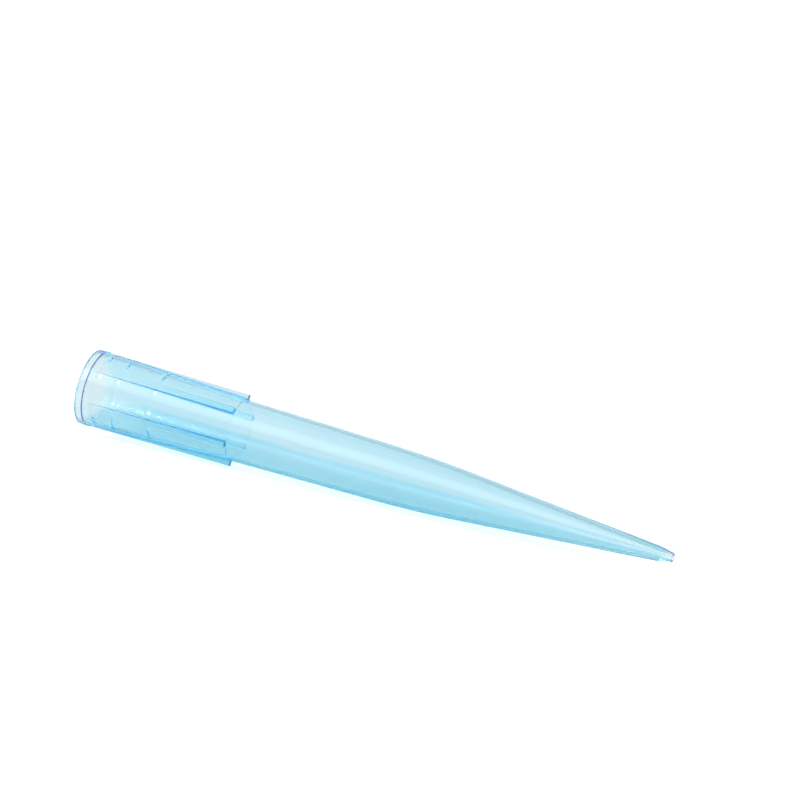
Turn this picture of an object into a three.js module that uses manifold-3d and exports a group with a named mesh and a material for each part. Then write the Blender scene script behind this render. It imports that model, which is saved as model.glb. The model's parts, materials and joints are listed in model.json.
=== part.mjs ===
// A one millilitre pipette tip, moulded in one piece of translucent blue polypropylene.
//
// It is a long thin-walled shell of revolution: a socket head with a beaded mouth and six long ribs,
// a slightly drafted tube, a soft knee and a slender nozzle with a steeper bevel at its end.
// It lies on its side as it comes to rest: on its bead and on the knee, with two ribs straddling the
// floor. +X runs from the mouth to the nozzle, +Z is up, and the origin is on the floor under the
// middle of the bounding box.

import * as THREE from 'three';
import { mergeVertices } from 'three/addons/utils/BufferGeometryUtils.js';
import Module from 'manifold-3d';

// ---- Driving dimensions, in millimetres and degrees ------------------------------------------------
// Places along the tip are distances from the mouth's end face. Tapers and drafts are per side.

const TIP_LENGTH = 71;
const WALL = 0.5;

// Socket and sleeve: the pipette's cone sets the bore, and the sleeve's skin lies a wall outside it
const SOCKET_DIAMETER = 7.54; // at the mouth's plane, without the lead-in
const SOCKET_TAPER = 2.07;
const SLEEVE_LENGTH = 18.5;
const LEAD_IN_LENGTH = 0.75;
const LEAD_IN_DEPTH = 0.18;

// Low rings in the socket, which seal on the cone
const SEAL_RING_PLACES = [1.95, 4.25, 8.7];
const SEAL_RING_WIDTH = 0.66;
const SEAL_RING_HEIGHT = 0.08;
const SEAL_RING_FLANK = 0.2;

// Bead round the mouth
const BEAD_LENGTH = 1.05;
const BEAD_HEIGHT = 0.09;
const BEAD_EDGE_RADIUS = 0.1;
const BEAD_STEP_RADIUS = 0.05;

// Ribs, which leave the skin at the bead and end square at the shoulder
const RIB_COUNT = 6;
const RIB_WIDTH = 0.73;
const RIB_DRAFT = 0.37;

// Tube, from the shoulder to the knee
const SHOULDER_STEP = 0.07;
const TUBE_DRAFT = 0.9;
const KNEE_PLACE = 41;
const KNEE_RADIUS = 150;

// Nozzle
const ORIFICE_DIAMETER = 0.7;
const BEVEL_LENGTH = 1.7;
const NOZZLE_END_WALL = 0.16;
const NOZZLE_EDGE_RADIUS = 0.05;

// Facets
const SEGMENTS = 72;
const EDGE_STEPS = 3;
const KNEE_STEPS = 6;

const COLOUR = 0x86cfe9;
const ROUGHNESS = 0.18;

// ---- Profile helpers -------------------------------------------------------------------------------
// A profile point is a Vector2: x is the radius, y is the distance from the mouth.

/** How much a diameter shrinks over a length with this taper per side. */
function shrink(taper, length) {
  return 2 * length * Math.tan(THREE.MathUtils.degToRad(taper));
}

/** A profile corner, rounded when it has a radius. */
function corner(diameter, place, radius = 0, steps = EDGE_STEPS) {
  return { point: new THREE.Vector2(diameter / 2, place), radius, steps };
}

/** The points of one corner of an outline: the corner itself, or the arc that rounds it. */
function cornerPoints(before, { point, radius, steps }, after) {
  if (radius === 0) return [point.clone()];
  const toBefore = before.clone().sub(point).normalize();
  const toAfter = after.clone().sub(point).normalize();
  const halfAngle = Math.acos(toBefore.dot(toAfter)) / 2;
  const tangentLength = radius / Math.tan(halfAngle);
  const middle = toBefore.clone().add(toAfter).normalize();
  const centre = point.clone().addScaledVector(middle, radius / Math.sin(halfAngle));
  const from = point.clone().addScaledVector(toBefore, tangentLength).sub(centre);
  const sweep = (Math.PI - 2 * halfAngle) * Math.sign(toAfter.cross(toBefore));
  return Array.from({ length: steps + 1 }, (_, i) =>
    from.clone().rotateAround(new THREE.Vector2(), (sweep * i) / steps).add(centre));
}

/** The points of an open outline, end to end, with its corners rounded. */
function roundedOutline(corners) {
  return corners.flatMap((current, i) => {
    const before = corners[Math.max(i - 1, 0)].point;
    const after = corners[Math.min(i + 1, corners.length - 1)].point;
    return cornerPoints(before, current, after);
  });
}

// ---- The wall's two sides --------------------------------------------------------------------------

/** Bore of the socket at a place. */
function socketDiameter(place) {
  return SOCKET_DIAMETER - shrink(SOCKET_TAPER, place);
}

/** Outside of the sleeve's skin at a place. */
function skinDiameter(place) {
  return socketDiameter(place) + 2 * WALL;
}

/** One sealing ring: a low land with sloping flanks, standing into the socket. */
function sealRing(place) {
  const foot = SEAL_RING_WIDTH / 2;
  const land = foot - SEAL_RING_FLANK;
  return [-foot, -land, land, foot].map((offset) => {
    const rise = Math.abs(offset) < foot ? SEAL_RING_HEIGHT : 0;
    return corner(socketDiameter(place + offset) - 2 * rise, place + offset);
  });
}

const mouthDiameter = SOCKET_DIAMETER + 2 * LEAD_IN_DEPTH;
const beadDiameter = skinDiameter(BEAD_LENGTH) + 2 * BEAD_HEIGHT;
const ribEndDiameter = skinDiameter(BEAD_LENGTH) - shrink(RIB_DRAFT, SLEEVE_LENGTH - BEAD_LENGTH);
const tubeDiameter = skinDiameter(SLEEVE_LENGTH) - 2 * SHOULDER_STEP;
const kneeDiameter = tubeDiameter - shrink(TUBE_DRAFT, KNEE_PLACE - SLEEVE_LENGTH);
const bevelPlace = TIP_LENGTH - BEVEL_LENGTH;

const outside = roundedOutline([
  corner(mouthDiameter, 0),
  corner(beadDiameter, 0, BEAD_EDGE_RADIUS),
  corner(beadDiameter, BEAD_LENGTH, BEAD_STEP_RADIUS),
  corner(skinDiameter(BEAD_LENGTH), BEAD_LENGTH),
  corner(skinDiameter(SLEEVE_LENGTH), SLEEVE_LENGTH),
  corner(tubeDiameter, SLEEVE_LENGTH),
  corner(kneeDiameter, KNEE_PLACE, KNEE_RADIUS, KNEE_STEPS),
  corner(ORIFICE_DIAMETER + 2 * WALL, bevelPlace),
  corner(ORIFICE_DIAMETER + 2 * NOZZLE_END_WALL, TIP_LENGTH, NOZZLE_EDGE_RADIUS),
  corner(ORIFICE_DIAMETER, TIP_LENGTH),
]);

const inside = roundedOutline([
  corner(mouthDiameter, 0),
  corner(socketDiameter(LEAD_IN_LENGTH), LEAD_IN_LENGTH),
  ...SEAL_RING_PLACES.flatMap(sealRing),
  corner(socketDiameter(SLEEVE_LENGTH), SLEEVE_LENGTH),
  corner(kneeDiameter - 2 * WALL, KNEE_PLACE, KNEE_RADIUS, KNEE_STEPS),
  corner(ORIFICE_DIAMETER, bevelPlace),
  corner(ORIFICE_DIAMETER, TIP_LENGTH),
]);

// ---- Solids ----------------------------------------------------------------------------------------

const wasm = await Module();
wasm.setup();

/** A closed three.js geometry as a manifold solid. */
function toSolid(geometry) {
  geometry.deleteAttribute('normal');
  geometry.deleteAttribute('uv');
  const merged = mergeVertices(geometry, 1e-5);
  return new wasm.Manifold(new wasm.Mesh({
    numProp: 3,
    vertProperties: merged.attributes.position.array,
    triVerts: merged.index.array,
  }));
}

/** A manifold solid as a three.js geometry. */
function toGeometry(solid) {
  const { vertProperties, triVerts } = solid.getMesh();
  const geometry = new THREE.BufferGeometry();
  geometry.setAttribute('position', new THREE.BufferAttribute(vertProperties, 3));
  geometry.setIndex(new THREE.BufferAttribute(triVerts, 1));
  geometry.computeVertexNormals();
  return geometry;
}

/** The shell: the wall's section, turned about the tip's axis (Y here). */
function shell() {
  const section = [...outside, ...inside.slice(0, -1).reverse()];
  return toSolid(new THREE.LatheGeometry(section, SEGMENTS));
}

/** One rib along +X, turned by an angle: a bar from inside the bead to the shoulder, rooted in the wall. */
function rib(angle) {
  const start = BEAD_LENGTH / 2;
  const rootRadius = (place) => (skinDiameter(place) - WALL) / 2;
  const side = new THREE.Shape([
    new THREE.Vector2(rootRadius(start), start),
    new THREE.Vector2(skinDiameter(BEAD_LENGTH) / 2, start),
    new THREE.Vector2(skinDiameter(BEAD_LENGTH) / 2, BEAD_LENGTH),
    new THREE.Vector2(ribEndDiameter / 2, SLEEVE_LENGTH),
    new THREE.Vector2(rootRadius(SLEEVE_LENGTH), SLEEVE_LENGTH),
  ]);
  const bar = new THREE.ExtrudeGeometry(side, { depth: RIB_WIDTH, bevelEnabled: false });
  bar.translate(0, 0, -RIB_WIDTH / 2);
  bar.rotateY(angle);
  return toSolid(bar);
}

/** The whole tip, standing on its mouth along +Y. */
function tipSolid() {
  let solid = shell();
  for (let i = 0; i < RIB_COUNT; i += 1) {
    solid = solid.add(rib((i * 2 * Math.PI) / RIB_COUNT));
  }
  return solid;
}

// ---- How it lies -----------------------------------------------------------------------------------

/** How far a closed geometry's centre of mass is from the mouth, by summing tetrahedra from the origin. */
function balancePlace(geometry) {
  const position = geometry.attributes.position;
  const index = geometry.index.array;
  const vertices = [new THREE.Vector3(), new THREE.Vector3(), new THREE.Vector3()];
  const [a, b, c] = vertices;
  let volume = 0;
  let moment = 0;
  for (let i = 0; i < index.length; i += 3) {
    vertices.forEach((vertex, j) => vertex.fromBufferAttribute(position, index[i + j]));
    const part = a.dot(b.clone().cross(c)) / 6;
    volume += part;
    moment += (part * (a.y + b.y + c.y)) / 4;
  }
  return moment / volume;
}

/** Angle between the axis and the floor: that of the outer hull's edge which passes the centre of mass. */
function restTilt(balance) {
  const halfPitch = Math.PI / RIB_COUNT;
  const ribHalfAngle = Math.atan(RIB_WIDTH / ribEndDiameter);
  const ribReach = (ribEndDiameter / 2) * Math.cos(halfPitch - ribHalfAngle);
  const supports = [...outside, new THREE.Vector2(ribReach, SLEEVE_LENGTH)];
  const slope = (from, to) => (to.x - from.x) / (to.y - from.y);
  let from;
  let next = supports.reduce((best, p) => (p.y === 0 && p.x > best.x ? p : best));
  do {
    from = next;
    next = supports.filter((p) => p.y > from.y)
      .reduce((best, p) => (slope(from, p) > slope(from, best) ? p : best));
  } while (next.y < balance);
  return Math.atan(-slope(from, next));
}

const material = new THREE.MeshStandardMaterial({
  color: COLOUR,
  roughness: ROUGHNESS,
  metalness: 0,
});

const tipBody = new THREE.Mesh(toGeometry(tipSolid()), material);
tipBody.name = 'tip_body';

// The tip's axis goes from +Y to +X, and then dips at the nozzle until bead and knee both touch the floor.
const lying = new THREE.Group();
lying.add(tipBody);
tipBody.rotation.z = -Math.PI / 2;
lying.rotation.y = restTilt(balancePlace(tipBody.geometry));

const pipetteTip = new THREE.Group();
pipetteTip.add(lying);
const bounds = new THREE.Box3().setFromObject(pipetteTip, true);
const middle = bounds.getCenter(new THREE.Vector3());
lying.position.set(-middle.x, -middle.y, -bounds.min.z);

export default pipetteTip;
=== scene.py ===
# %% [markdown]
# # A one millilitre pipette tip
# The real part is a single injection moulding in clear blue polypropylene: a ribbed socket that pushes
# onto a pipette, a slightly drafted tube and a long nozzle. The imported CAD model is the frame. It says
# where the tip lies and how big it is, and this lesson builds a finer skin in exactly that place, one
# whose rounded edges and even wall bend light as the plastic does. The frame is loaded first, because
# every position below comes from it.

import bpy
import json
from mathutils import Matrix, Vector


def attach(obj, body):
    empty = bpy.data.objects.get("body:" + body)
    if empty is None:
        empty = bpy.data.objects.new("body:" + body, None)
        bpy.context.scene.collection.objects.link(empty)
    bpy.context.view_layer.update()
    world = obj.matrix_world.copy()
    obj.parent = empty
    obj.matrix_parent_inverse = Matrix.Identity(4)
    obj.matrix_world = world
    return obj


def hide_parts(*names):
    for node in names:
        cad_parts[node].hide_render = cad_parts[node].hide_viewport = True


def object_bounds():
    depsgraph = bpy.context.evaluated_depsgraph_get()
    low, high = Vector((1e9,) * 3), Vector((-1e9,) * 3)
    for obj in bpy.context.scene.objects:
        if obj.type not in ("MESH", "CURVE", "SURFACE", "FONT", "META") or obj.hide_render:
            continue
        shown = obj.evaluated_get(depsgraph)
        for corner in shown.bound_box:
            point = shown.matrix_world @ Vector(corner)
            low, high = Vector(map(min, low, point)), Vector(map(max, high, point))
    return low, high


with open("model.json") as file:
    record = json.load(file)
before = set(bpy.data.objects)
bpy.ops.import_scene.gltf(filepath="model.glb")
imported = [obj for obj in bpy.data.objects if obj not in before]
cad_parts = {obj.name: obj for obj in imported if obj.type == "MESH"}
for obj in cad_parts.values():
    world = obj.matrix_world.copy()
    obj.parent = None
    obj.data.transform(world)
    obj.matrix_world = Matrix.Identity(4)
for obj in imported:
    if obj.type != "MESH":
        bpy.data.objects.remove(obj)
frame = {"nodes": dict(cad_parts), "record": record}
cad_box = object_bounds()
print("CAD box, mm:", [[round(1000 * v, 2) for v in corner] for corner in cad_box])

# %% [markdown]
# ## Where the tip lies
# The tip rests on its side, and its axis dips a little towards the nozzle. The record holds one mount on
# the flat ring of the mouth, so that mount's direction, turned round, is the tip's axis. The CAD points
# that lie in the same plane are the mouth's two circles, and their mean is the middle of the mouth. A
# frame of our own is put there: its Z runs down the tip, and its X points straight out of one rib. All
# the modelling can then be done on an upright, centred tip, which is far easier to think about.

# %% Measure the axis
import json
import math

import bpy
import numpy as np
from mathutils import Matrix, Vector

MM = 0.001
SAME_PLANE = 0.01 * MM

rim = next(m for m in frame["record"]["mounts"] if m["name"] == "rim_face")
axis = -Vector(rim["axis"]).normalized()
cad_points = np.array([v.co for v in frame["nodes"]["tip_body"].data.vertices])
places = (cad_points - np.array(rim["pos_m"])) @ np.array(axis)
mouth = Vector(cad_points[abs(places) < SAME_PLANE].mean(axis=0))
tip_length = places.max() / MM

rib_side = Vector((0, 1, 0))
tip_matrix = Matrix((rib_side, axis.cross(rib_side), axis)).transposed().to_4x4()
tip_matrix.translation = mouth
tilt = math.degrees(math.asin(-axis.z))
print(f"length {tip_length:.2f} mm, tilt {tilt:.2f} degrees, mouth at {[round(v / MM, 2) for v in mouth]} mm")

# %% [markdown]
# ## The sizes of the moulding
# A tip is drawn as half of its lengthwise section, so each size is a place along the axis, measured from
# the mouth, or a diameter at a place. The sizes are in millimetres, and they are the CAD's own, apart
# from the few that these notes name.
#
# The CAD has a plain lead-in cone in its mouth. Here the mouth gets the two small steps of the real one:
# an end face that slopes inward as a lip, and a shallow recess with a steep shoulder, where the socket
# begins. Both lie inside the CAD's wall by less than a quarter of a millimetre. A slope that steep turns
# light along the wall, and that draws deep rings at the mouth. The three sealing rings are a little lower
# and softer than the CAD's, as rings pulled off a mould's core are, and so their lines are fainter.
#
# The finer roundings of this skin stand a hair proud of the CAD's coarser ones. So the bead is a
# thousandth of a millimetre lower than the CAD's and the shoulder as much deeper, and the skin stays
# inside the CAD's box.

# %% Sizes, in millimetres and degrees
WALL = 0.5
SOCKET_DIAMETER, SOCKET_TAPER = 7.54, 2.07
SLEEVE_LENGTH = 18.5
LEAD_IN_DEPTH = 0.18
LIP_SLOPE = 0.185
RECESS_DIAMETER, RECESS_END, SHOULDER_END = 7.96, 0.78, 0.93
SEAL_RINGS = (1.95, 4.25, 8.7)
SEAL_RING_WIDTH, SEAL_RING_HEIGHT, SEAL_RING_FLANK = 0.66, 0.055, 0.28
BEAD_LENGTH, BEAD_HEIGHT = 1.05, 0.089
RIB_COUNT, RIB_WIDTH, RIB_DRAFT = 6, 0.73, 0.37
SHOULDER_STEP, TUBE_DRAFT, KNEE_PLACE, KNEE_RADIUS = 0.071, 0.9, 41, 150
ORIFICE_DIAMETER, BEVEL_LENGTH, NOZZLE_END_WALL = 0.7, 1.7, 0.16


def shrink(taper, length):
    """How much a diameter shrinks over a length with this taper per side."""
    return 2 * length * math.tan(math.radians(taper))


def socket_at(place):
    """Diameter of the socket's bore at a place."""
    return SOCKET_DIAMETER - shrink(SOCKET_TAPER, place)


def skin_at(place):
    """Diameter of the sleeve's skin at a place, an even wall outside the bore."""
    return socket_at(place) + 2 * WALL


rib_top = skin_at(BEAD_LENGTH)
mouth_diameter = SOCKET_DIAMETER + 2 * LEAD_IN_DEPTH
bead_diameter = rib_top + 2 * BEAD_HEIGHT
tube_diameter = skin_at(SLEEVE_LENGTH) - 2 * SHOULDER_STEP
knee_diameter = tube_diameter - shrink(TUBE_DRAFT, KNEE_PLACE - SLEEVE_LENGTH)
bevel_place = tip_length - BEVEL_LENGTH
print(f"bead {bead_diameter:.2f}, tube {tube_diameter:.2f}, knee {knee_diameter:.2f} mm across")

# %% [markdown]
# ## The section of the wall
# The wall's section is one closed outline: down the outside from the mouth to the nozzle, and back up the
# bore. Each corner is written as a place, a diameter and a rounding radius. Walking along the outline,
# the plastic is always on the right hand, so the left hand gives the direction that the surface faces.
# Blender could guess those directions from the faces, but on long thin faces the guess bends the light
# wrongly, and for clear plastic that shows at once. So the exact direction is kept with each point.
#
# No mould has a perfectly sharp edge, and light shows each rounding as a thin bright or dark line. So
# every corner gets a radius, from a hairline on the ribs' ends to the long soft bend of the knee.

# %% Corners of the section
HAIRLINE, BEAD_EDGE, NOZZLE_EDGE = 0.03, 0.05, 0.07
RING_EDGE, BORE_EDGE, BEVEL_RADIUS = 0.3, 0.3, 3

outside = [
    (LIP_SLOPE, mouth_diameter, HAIRLINE),
    (0, bead_diameter, BEAD_EDGE),
    (BEAD_LENGTH, bead_diameter, BEAD_EDGE),
    (BEAD_LENGTH, rib_top, HAIRLINE),
    (SLEEVE_LENGTH, skin_at(SLEEVE_LENGTH), HAIRLINE),
    (SLEEVE_LENGTH, tube_diameter, HAIRLINE),
    (KNEE_PLACE, knee_diameter, KNEE_RADIUS),
    (bevel_place, ORIFICE_DIAMETER + 2 * WALL, BEVEL_RADIUS),
    (tip_length, ORIFICE_DIAMETER + 2 * NOZZLE_END_WALL, NOZZLE_EDGE),
    (tip_length, ORIFICE_DIAMETER, NOZZLE_EDGE),
]

bore = [(RECESS_END, RECESS_DIAMETER, HAIRLINE), (SHOULDER_END, socket_at(SHOULDER_END), HAIRLINE)]
for ring in SEAL_RINGS:
    foot, land = SEAL_RING_WIDTH / 2, SEAL_RING_WIDTH / 2 - SEAL_RING_FLANK
    for offset, rise in ((-foot, 0), (-land, SEAL_RING_HEIGHT), (land, SEAL_RING_HEIGHT), (foot, 0)):
        bore.append((ring + offset, socket_at(ring + offset) - 2 * rise, RING_EDGE))
bore += [
    (SLEEVE_LENGTH, socket_at(SLEEVE_LENGTH), BORE_EDGE),
    (KNEE_PLACE, knee_diameter - 2 * WALL, KNEE_RADIUS),
    (bevel_place, ORIFICE_DIAMETER, BEVEL_RADIUS),
]
print("corners outside and inside:", len(outside), len(bore))

# %% Round the corners
ARC_STEPS, KNEE_STEPS = 4, 10
LONGEST_STEP = 1.0


def turned(v, angle):
    """A flat direction turned to the left by an angle."""
    c, s = math.cos(angle), math.sin(angle)
    return np.array([c * v[0] - s * v[1], s * v[0] + c * v[1]])


def rounded_outline(corners):
    """Points of a closed outline with rounded corners, as rows of place, radius and facing direction."""
    points = [np.array([place, diameter / 2]) for place, diameter, _ in corners]
    rows = []
    for i, (_, _, rounding) in enumerate(corners):
        before, here, after = points[i - 1], points[i], points[(i + 1) % len(points)]
        arriving = (here - before) / np.linalg.norm(here - before)
        leaving = (after - here) / np.linalg.norm(after - here)
        bend = math.atan2(arriving[0] * leaving[1] - arriving[1] * leaving[0], arriving @ leaving)
        facing = turned(arriving, math.pi / 2)
        start = here - arriving * rounding * math.tan(abs(bend) / 2)
        centre = start + facing * rounding * math.copysign(1, bend)
        steps = KNEE_STEPS if rounding == KNEE_RADIUS else ARC_STEPS
        for k in range(steps + 1):
            normal = turned(facing, bend * k / steps)
            rows.append([*(centre - normal * rounding * math.copysign(1, bend)), *normal])
    return np.array(rows)


def with_short_steps(rows, longest):
    """The same outline with points added along its long straight stretches."""
    result = []
    for row, following in zip(rows, np.roll(rows, -1, axis=0)):
        pieces = max(1, math.ceil(np.linalg.norm(following[:2] - row[:2]) / longest))
        result += [row + (following - row) * k / pieces for k in range(pieces)]
    return np.array(result)


outline = with_short_steps(rounded_outline(outside + bore[::-1]), LONGEST_STEP)
print("points round the section:", len(outline))

# %% [markdown]
# ## The ribs
# Six ribs grow out of the sleeve as its skin tapers away under them. Cut across, the sleeve is a circle
# with six low bars on it. One sixth of that outline is enough: half a rib, then half the skin up to the
# next one, mirrored and copied round. The rib has a small rounding on its edge and a hollow one at its
# root. Near the bead, where the rib is low, both shrink to a share of its height.
#
# Bars could be joined on with a Boolean, but it leaves ragged triangles where the surfaces meet, and a
# clear part shows them. Written this way, every ring of the mesh has the same number of points.

# %% Half a rib and its skin
RIB_EDGE, RIB_ROOT = 0.06, 0.07
LARGEST_SHARE = 0.45
SKIN_STEPS = 14


def arc(centre, radius, start, end, steps, inward=False):
    """Points of an arc with the directions that they face, the last point left out."""
    angles = np.linspace(start, end, steps + 1)[:-1]
    out = np.stack([np.cos(angles), np.sin(angles)], axis=1)
    return np.hstack([np.array(centre) + radius * out, -out if inward else out])


def half_sixth(place):
    """Outline from the middle of a rib to half way to the next one: x, y and facing direction."""
    skin = skin_at(place) / 2
    top = (rib_top - shrink(RIB_DRAFT, place - BEAD_LENGTH)) / 2
    side = RIB_WIDTH / 2
    height = top - math.sqrt(skin**2 - side**2)
    edge, root = (min(r, LARGEST_SHARE * height) for r in (RIB_EDGE, RIB_ROOT))
    root_x = math.sqrt((skin + root) ** 2 - (side + root) ** 2)
    root_angle = math.atan2(side + root, root_x)
    half_way = math.pi / RIB_COUNT
    c, s = math.cos(half_way), math.sin(half_way)
    return np.vstack([
        [top, 0, 1, 0],
        arc((top - edge, side - edge), edge, 0, math.pi / 2, ARC_STEPS),
        [top - edge, side, 0, 1],
        arc((root_x, side + root), root, -math.pi / 2, root_angle - math.pi, ARC_STEPS, inward=True),
        arc((0, 0), skin, root_angle, half_way, SKIN_STEPS),
        [skin * c, skin * s, c, s],
    ])


print("points in half a sixth:", len(half_sixth(SLEEVE_LENGTH)))


# %% Copies round the sleeve
def ribbed_ring(place):
    """The whole outline of the sleeve at a place: points and facing directions."""
    half = half_sixth(place)
    mirrored = half[:0:-1] * [1, -1, 1, -1]
    sixth = np.vstack([mirrored, half[:-1]])
    copies = []
    for i in range(RIB_COUNT):
        angle = 2 * math.pi * i / RIB_COUNT
        c, s = math.cos(angle), math.sin(angle)
        spin = np.array([[c, s], [-s, c]])
        copies.append(np.hstack([sixth[:, :2] @ spin, sixth[:, 2:] @ spin]))
    return np.vstack(copies)


end_ring = ribbed_ring(SLEEVE_LENGTH)
fan = np.arctan2(end_ring[:, 1], end_ring[:, 0])
fan = np.stack([np.cos(fan), np.sin(fan)], axis=1)
print("points round a ring:", len(fan))

# %% [markdown]
# ## The mesh
# Every point of the section becomes a ring, and neighbouring rings are joined with four-sided faces. The
# last ring joins the first, so the wall is one closed skin, and the renderer can tell plastic from air.
# On the sleeve the ring is the ribbed outline, moved inward where the shoulder's edge is rounded.
# Everywhere else it is a circle, with its points on the same spokes, so the faces line up.
#
# The skin and the ribs don't taper alike, so their faces lean by different amounts. How far each point of
# the outline moves over a short way down the tip gives that lean.

# %% Rings of points
SLEEVE_START = BEAD_LENGTH + HAIRLINE
TOLERANCE = 1e-4
SHORT_WAY = 0.01


def ring_points(place, radius, normal_along, normal_out):
    """One ring: its points and the directions that they face."""
    on_sleeve = SLEEVE_START - TOLERANCE < place < SLEEVE_LENGTH + TOLERANCE
    depth = skin_at(place) / 2 - radius
    if on_sleeve and normal_out > 0 and depth < HAIRLINE + TOLERANCE:
        ring = ribbed_ring(place)
        along = np.full(len(ring), normal_along)
        if depth < TOLERANCE:
            change = (ribbed_ring(place + SHORT_WAY)[:, :2] - ring[:, :2]) / SHORT_WAY
            along = -(change * ring[:, 2:]).sum(axis=1)
            normal_out = 1
        points = np.column_stack([ring[:, :2] - depth * ring[:, 2:], np.full(len(ring), place)])
        normals = np.column_stack([ring[:, 2:] * normal_out, along])
    else:
        points = np.column_stack([fan * radius, np.full(len(fan), place)])
        normals = np.column_stack([fan * normal_out, np.full(len(fan), normal_along)])
    return points, normals / np.linalg.norm(normals, axis=1, keepdims=True)


rings = [ring_points(*row) for row in outline]
points = np.vstack([p for p, _ in rings])
normals = np.vstack([n for _, n in rings])
print("rings:", len(rings), "points:", len(points))

# %% Join the rings
index = np.arange(len(points)).reshape(len(rings), len(fan))
below, beside = np.roll(index, -1, axis=0), np.roll(index, -1, axis=1)
faces = np.stack([index, beside, np.roll(below, -1, axis=1), below], axis=-1).reshape(-1, 4)

lying = np.array(tip_matrix.to_3x3())
placed = points * MM @ lying.T + np.array(mouth)
directions = normals @ lying.T

mesh = bpy.data.meshes.new("tip_skin")
mesh.from_pydata(placed.tolist(), [], faces.tolist())
mesh.shade_smooth()
mesh.normals_split_custom_set_from_vertices(directions.tolist())

tip = bpy.data.objects.new("tip_skin", mesh)
bpy.context.scene.collection.objects.link(tip)
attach(tip, "root")
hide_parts("tip_body")

facing = np.array([p.normal for p in mesh.polygons])
agreement = (facing * directions[faces[:, 0]]).sum(axis=1)
print(f"{2 * len(faces)} triangles; faces and directions agree to {agreement.min():.2f} at worst")

# %% [markdown]
# ## Blue polypropylene
# Polypropylene is a clear plastic with a touch of milk in it. Its blue is in its depth: light that passes
# straight through two thin walls stays pale, and light that runs along the wall at the sides turns deep
# cyan. Volume Absorption does exactly this, so the colour is set there and the surface stays almost
# clear. The little milk is a Transmission Weight just under 1.
#
# A clear part would cast a hard black shadow if its walls bent the light on its way from the lamp. So a
# ray that only asks how bright the ground is passes straight through, tinted by the depth it crosses:
# the Light Path node tells those rays from the ones that draw the plastic itself.

# %% Plastic
DEPTH_COLOUR = (0.0, 0.8, 0.95, 1)
DEPTH_DENSITY = 530

plastic = bpy.data.materials.new("blue_polypropylene")
plastic.use_nodes = True
nodes, links = plastic.node_tree.nodes, plastic.node_tree.links
nodes.clear()

output = nodes.new("ShaderNodeOutputMaterial")
surface = nodes.new("ShaderNodeBsdfPrincipled")
open_to_lamps = nodes.new("ShaderNodeBsdfTransparent")
ray = nodes.new("ShaderNodeLightPath")
choice = nodes.new("ShaderNodeMixShader")
depth_colour = nodes.new("ShaderNodeVolumeAbsorption")
either = nodes.new("ShaderNodeMath")
either.operation = "MAXIMUM"
links.new(ray.outputs["Is Shadow Ray"], either.inputs[0])
links.new(ray.outputs["Is Diffuse Ray"], either.inputs[1])
links.new(either.outputs["Value"], choice.inputs["Fac"])
links.new(surface.outputs["BSDF"], choice.inputs[1])
links.new(open_to_lamps.outputs["BSDF"], choice.inputs[2])
links.new(choice.outputs["Shader"], output.inputs["Surface"])
links.new(depth_colour.outputs["Volume"], output.inputs["Volume"])

surface.inputs["Transmission Weight"].default_value = 0.975
surface.inputs["IOR"].default_value = 1.49
open_to_lamps.inputs["Color"].default_value = (0.96, 0.96, 0.96, 1)
depth_colour.inputs["Color"].default_value = DEPTH_COLOUR
depth_colour.inputs["Density"].default_value = DEPTH_DENSITY

absorbed = [DEPTH_DENSITY * (1 - c) * MM for c in DEPTH_COLOUR[:3]]
print("red, green and blue left after 1 mm of wall:", [round(math.exp(-a), 2) for a in absorbed])

# %% [markdown]
# ## Flow lines
# Hot plastic runs into the mould from the nozzle's end, and its surface keeps very faint lines along the
# way it ran. A noise texture that is stretched along the tip gives them. It varies three things by a
# little: the tint, the haze of the polish and the height of the surface. Together they break up the
# reflections, which a perfectly even finish would show as hard bands.

# %% Flow lines
FLOW_SCALE, FLOW_STRETCH = 1500, 0.06

where = nodes.new("ShaderNodeTexCoord")
stretch = nodes.new("ShaderNodeMapping")
stretch.inputs["Scale"].default_value = (FLOW_STRETCH, 1, 1)
flow = nodes.new("ShaderNodeTexNoise")
flow.inputs["Scale"].default_value = FLOW_SCALE
flow.inputs["Detail"].default_value = 3
links.new(where.outputs["Object"], stretch.inputs["Vector"])
links.new(stretch.outputs["Vector"], flow.inputs["Vector"])

tint = nodes.new("ShaderNodeMix")
tint.data_type = "RGBA"
tint.inputs["A"].default_value = (0.98, 0.965, 0.985, 1)
tint.inputs["B"].default_value = (1.0, 0.985, 1.0, 1)
links.new(flow.outputs["Fac"], tint.inputs["Factor"])
links.new(tint.outputs["Result"], surface.inputs["Base Color"])

haze = nodes.new("ShaderNodeMapRange")
haze.inputs["To Min"].default_value = 0.05
haze.inputs["To Max"].default_value = 0.11
links.new(flow.outputs["Fac"], haze.inputs["Value"])
links.new(haze.outputs["Result"], surface.inputs["Roughness"])

ripple = nodes.new("ShaderNodeBump")
ripple.inputs["Strength"].default_value = 0.1
ripple.inputs["Distance"].default_value = 0.01 * MM
links.new(flow.outputs["Fac"], ripple.inputs["Height"])
links.new(ripple.outputs["Normal"], surface.inputs["Normal"])
mesh.materials.append(plastic)
print("nodes in the plastic:", len(nodes))

# %% [markdown]
# ## The ground
# A plain white ground, large enough that no view sees its edge. A catalogue picture has its ground
# cleaned to white, so hardly a trace of shadow is left under the part. An even glow, added only where
# the camera sees the ground itself, lifts it in the same way. Seen through the plastic, the ground keeps
# its own level, so the plastic keeps its depth.

# %% Floor
GROUND_HALF = 3.0

floor_mesh = bpy.data.meshes.new("floor")
corners = [(x * GROUND_HALF, y * GROUND_HALF, 0) for x, y in ((-1, -1), (1, -1), (1, 1), (-1, 1))]
floor_mesh.from_pydata(corners, [], [(0, 1, 2, 3)])
floor = bpy.data.objects.new("floor", floor_mesh)
bpy.context.scene.collection.objects.link(floor)
print("ground:", 2 * GROUND_HALF, "m wide")

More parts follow.
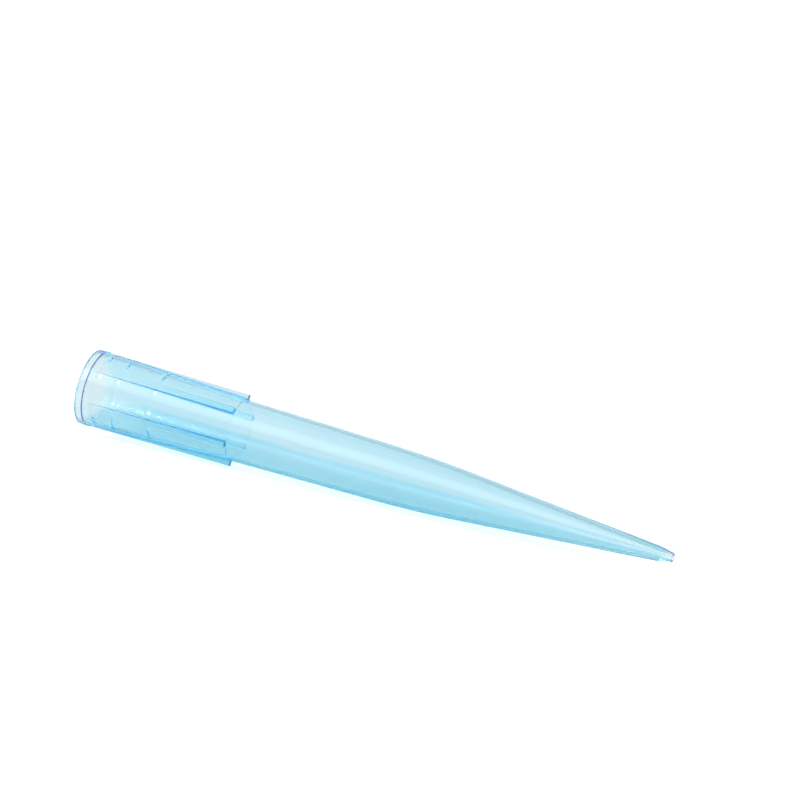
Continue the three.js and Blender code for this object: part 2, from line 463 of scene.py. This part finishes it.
# %% [markdown]
# ## Light that goes a long way
# Real polypropylene scatters a little light back into any ray that stays long inside its wall, which
# keeps its deepest lines blue instead of nearly black. A scattering volume beside the absorption would
# be truer and costs hardly more time, but the exported model keeps only a plain absorption's colour. So
# here the ground and the room look brighter to a ray that has already been bent or mirrored more than
# five times. That changes the deep lines most, and the pale walls little. The ground's material adds
# this lift and the camera's glow together as its own light.

# %% Long ways
LONG_WAY_STARTS, LONG_WAY_ENDS = 5, 10


def long_way(tree, usual, lifted):
    """A ray's path, and a level that rises from usual to lifted as the ray is bent or mirrored often."""
    path = tree.nodes.new("ShaderNodeLightPath")
    rise = tree.nodes.new("ShaderNodeMapRange")
    rise.inputs["From Min"].default_value = LONG_WAY_STARTS
    rise.inputs["From Max"].default_value = LONG_WAY_ENDS
    rise.inputs["To Min"].default_value = usual
    rise.inputs["To Max"].default_value = lifted
    tree.links.new(path.outputs["Ray Depth"], rise.inputs["Value"])
    return path, rise.outputs["Result"]


print("levels rise from turn", LONG_WAY_STARTS, "to turn", LONG_WAY_ENDS)

# %% White ground
GROUND_WHITE = 0.57
GROUND_GLOW, GROUND_LIFT = 0.55, 0.5

paper = bpy.data.materials.new("white_ground")
paper.use_nodes = True
paper_surface = paper.node_tree.nodes["Principled BSDF"]
paper_surface.inputs["Base Color"].default_value = (GROUND_WHITE, GROUND_WHITE, GROUND_WHITE, 1)
paper_surface.inputs["Roughness"].default_value = 0.9
paper_surface.inputs["Specular IOR Level"].default_value = 0.1
paper_surface.inputs["Emission Color"].default_value = (1, 1, 1, 1)
path, lifted = long_way(paper.node_tree, 0.0, GROUND_LIFT)
glow = paper.node_tree.nodes.new("ShaderNodeMath")
glow.operation = "MULTIPLY_ADD"
glow.inputs[1].default_value = GROUND_GLOW
paper.node_tree.links.new(path.outputs["Is Camera Ray"], glow.inputs[0])
paper.node_tree.links.new(lifted, glow.inputs[2])
paper.node_tree.links.new(glow.outputs["Value"], paper_surface.inputs["Emission Strength"])
floor_mesh.materials.append(paper)
print("nodes in the ground:", len(paper.node_tree.nodes))

# %% [markdown]
# ## Light
# The picture comes from three lights. The key is a small bright square, high on the near side, which
# draws one soft streak along the tube and lights the ground. A wide panel beside it, parallel to the
# tip, shows as a broad pale band on the upper half. Both are turned to the tip's own axis, so that their
# reflections run straight down it.

# %% Lamps
scene = bpy.context.scene
target = (cad_box[0] + cad_box[1]) / 2


def lamp(name, up, distance, shift, along, across, radiance):
    """A rectangular lamp with one side parallel to the tip, up degrees over the near side's horizon."""
    data = bpy.data.lights.new(name, "AREA")
    data.shape = "RECTANGLE"
    data.size, data.size_y = along, across
    data.energy = radiance * math.pi * along * across
    light = bpy.data.objects.new(name, data)
    scene.collection.objects.link(light)
    away = Vector((0, -math.cos(math.radians(up)), math.sin(math.radians(up))))
    away = (away - axis * away.dot(axis)).normalized()
    light.matrix_world = Matrix((axis, away.cross(axis), away)).transposed().to_4x4()
    light.location = target + away * distance + axis * shift
    return light


lamp("key", up=69, distance=1.2, shift=-0.8, along=0.16, across=0.16, radiance=310)
lamp("overhead_panel", up=64, distance=1.1, shift=-0.44, along=1.0, across=0.714, radiance=0.85)

# %% [markdown]
# ## The room
# Clear plastic shows the room more than it shows the lamps, so the room is the third light. It is white
# and even, with three darker parts. Straight overhead it is a little darker. Low on the near side it is
# clearly darker: the near wall mirrors that part, and it deepens the blue of the tube's lower half. The
# far side is darker from straight overhead down, and that part shows along the tube's upper edge, where
# it draws the outline against the white ground.

# %% Room
ROOM_LIFT = 2.0

world = bpy.data.worlds.new("studio")
scene.world = world
world.use_nodes = True
room, room_links = world.node_tree.nodes, world.node_tree.links
way = room.new("ShaderNodeTexCoord")
parts = room.new("ShaderNodeSeparateXYZ")
room_links.new(way.outputs["Generated"], parts.inputs["Vector"])


def ramp(direction, start, end, first, last):
    """A level that changes from first to last as a direction's part goes from start to end."""
    change = room.new("ShaderNodeMapRange")
    for name, value in zip(("From Min", "From Max", "To Min", "To Max"), (start, end, first, last)):
        change.inputs[name].default_value = value
    room_links.new(parts.outputs[direction], change.inputs["Value"])
    return change.outputs["Result"]


def product(one, other):
    """Two levels multiplied."""
    both = room.new("ShaderNodeMath")
    both.operation = "MULTIPLY"
    room_links.new(one, both.inputs[0])
    room_links.new(other, both.inputs[1])
    return both.outputs["Value"]


ceiling = ramp("Z", start=0.4, end=0.9, first=1.0, last=0.8)
near_side = ramp("Y", start=-0.75, end=-0.5, first=0.45, last=1.0)
far_side = ramp("Y", start=-0.05, end=0.08, first=1.0, last=0.7)
_, lifted = long_way(world.node_tree, 1.0, ROOM_LIFT)
strength = product(product(ceiling, near_side), product(far_side, lifted))
room_links.new(strength, room["Background"].inputs["Strength"])
room["Background"].inputs["Color"].default_value = (1, 1, 1, 1)
print("nodes in the room:", len(room))

# %% [markdown]
# ## How far light is followed
# Light that is caught in a wall is mirrored many times before it comes out. If it is given up too early,
# it leaves black dots and lines, so it is followed for many turns instead of the usual few. Caustics
# are off, because the plastic already lets the lamps' light through to the ground. The Standard view
# shows the levels as they are, so white stays white.

# %% Light paths
TURNS = 48

scene.view_settings.view_transform = "Standard"
scene.cycles.max_bounces = TURNS
scene.cycles.glossy_bounces = TURNS
scene.cycles.transmission_bounces = TURNS
scene.cycles.caustics_refractive = False
scene.cycles.caustics_reflective = False
print("turns followed:", scene.cycles.max_bounces)

# %% [markdown]
# ## Camera
# A long lens keeps the tip's two sides almost parallel, as in a catalogue picture. The camera looks down
# on the tip from its near side, a little towards the nozzle, and it is placed so that the middle of the
# mouth comes at a fixed point of its view.

# %% Camera
CAMERA_AROUND, CAMERA_UP, CAMERA_ROLL = 23.35, 27.4, 3.34
DISTANCE = 0.85
LENS = 342.2
MOUTH_ACROSS, MOUTH_UP = -0.03451, 0.001475

sideways, upward = math.radians(CAMERA_AROUND), math.radians(CAMERA_UP)
level_way = Vector((math.sin(sideways), -math.cos(sideways), 0))
back = level_way * math.cos(upward) + Vector((0, 0, 1)) * math.sin(upward)
aim = back.to_track_quat("Z", "Y").to_matrix() @ Matrix.Rotation(math.radians(CAMERA_ROLL), 3, "Z")

camera_data = bpy.data.cameras.new("camera")
camera_data.lens = LENS
camera_data.sensor_width = 36
camera_data.clip_start, camera_data.clip_end = 0.01, 20
camera = bpy.data.objects.new("camera", camera_data)
scene.collection.objects.link(camera)
mouth_in_view = Vector((MOUTH_ACROSS, MOUTH_UP, -DISTANCE))
camera.matrix_world = Matrix.Translation(mouth - aim @ mouth_in_view) @ aim.to_4x4()
scene.camera = camera
print("camera at", [round(v, 3) for v in camera.location], "m, lens", LENS, "mm")
